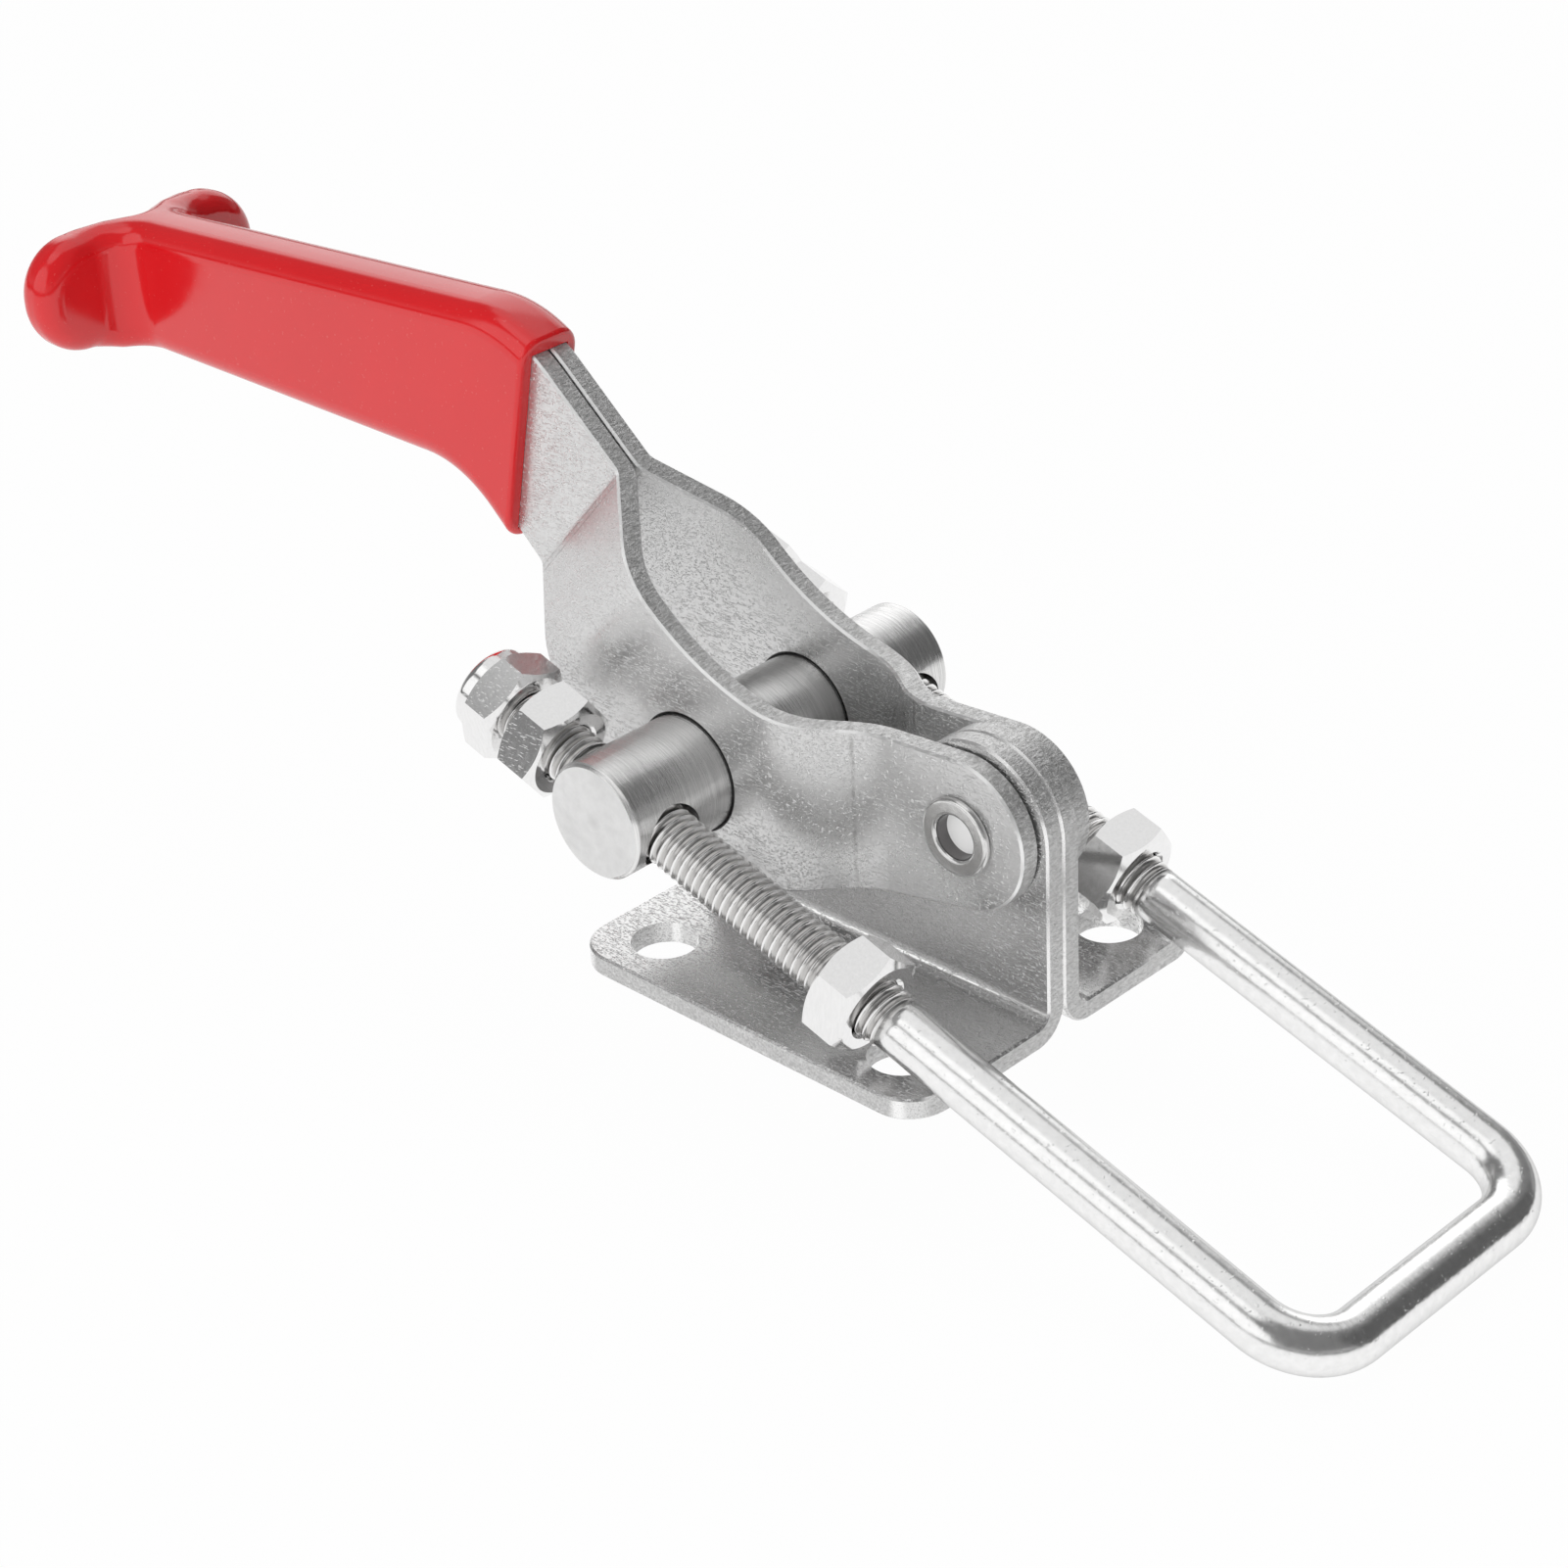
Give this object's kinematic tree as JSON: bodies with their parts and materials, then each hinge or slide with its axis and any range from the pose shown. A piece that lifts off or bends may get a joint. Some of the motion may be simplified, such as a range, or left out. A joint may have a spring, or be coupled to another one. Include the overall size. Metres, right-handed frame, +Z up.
{
  "type": "over centre toggle latch",
  "caption": "Hand lever toggle latch with a U-shaped hook bolt whose threaded legs adjust in a cross trunnion, on a flat bolted base.",
  "frame": {"origin": "middle of the four base holes, on the underside of the base", "axes": "+X towards the hook, +Y to the left side, +Z up out of the base; the handle lies closed towards -X"},
  "size_m": [0.2386, 0.06, 0.0886],
  "materials": {
    "bracket_steel": "tumbled stainless sheet, satin, with sheared edges",
    "plate_steel": "tumbled stainless sheet, satin, with sheared edges",
    "grip_vinyl": "glossy red dipped vinyl",
    "rivet_steel": "rolled rim, bright",
    "trunnion_steel": "turned bar, fine circular tool marks",
    "bolt_steel": "bright rolled rod and thread",
    "nut_steel": "bright cold formed nuts",
    "nylon": "natural nylon"
  },
  "bodies": {
    "base": {"base_bracket_left": "bracket_steel", "base_bracket_right": "bracket_steel"},
    "handle": {"handle_plate_left": "plate_steel", "handle_plate_right": "plate_steel", "grip": "grip_vinyl", "pivot_rivet": "rivet_steel"},
    "trunnion": {"trunnion": "trunnion_steel"},
    "hook": {"u_bolt": "bolt_steel", "front_nut_right": "nut_steel", "front_nut_left": "nut_steel", "jam_nut_right": "nut_steel", "jam_nut_left": "nut_steel", "lock_nut_right": "nut_steel", "lock_nut_left": "nut_steel", "nylon_ring_right": "nylon", "nylon_ring_left": "nylon"}
  },
  "joints": [
    {"name": "handle_pivot", "type": "hinge", "parent": "base", "child": "handle", "pos_m": [0.0188, 0, 0.0274], "axis": [0, 1, 0], "range_deg": [0, 150]},
    {"name": "trunnion_pivot", "type": "hinge", "parent": "handle", "child": "trunnion", "pos_m": [-0.0225, 0, 0.0241], "axis": [0, 1, 0], "range_deg": [-150, 0]},
    {"name": "hook_slide", "type": "slide", "parent": "trunnion", "child": "hook", "axis": [0.9521, 0, -0.3057], "range_m": [-0.0294, 0]}
  ],
  "couplings": [
    {"joint": "trunnion_pivot", "follows": "handle_pivot", "ratio": -1}
  ]
}
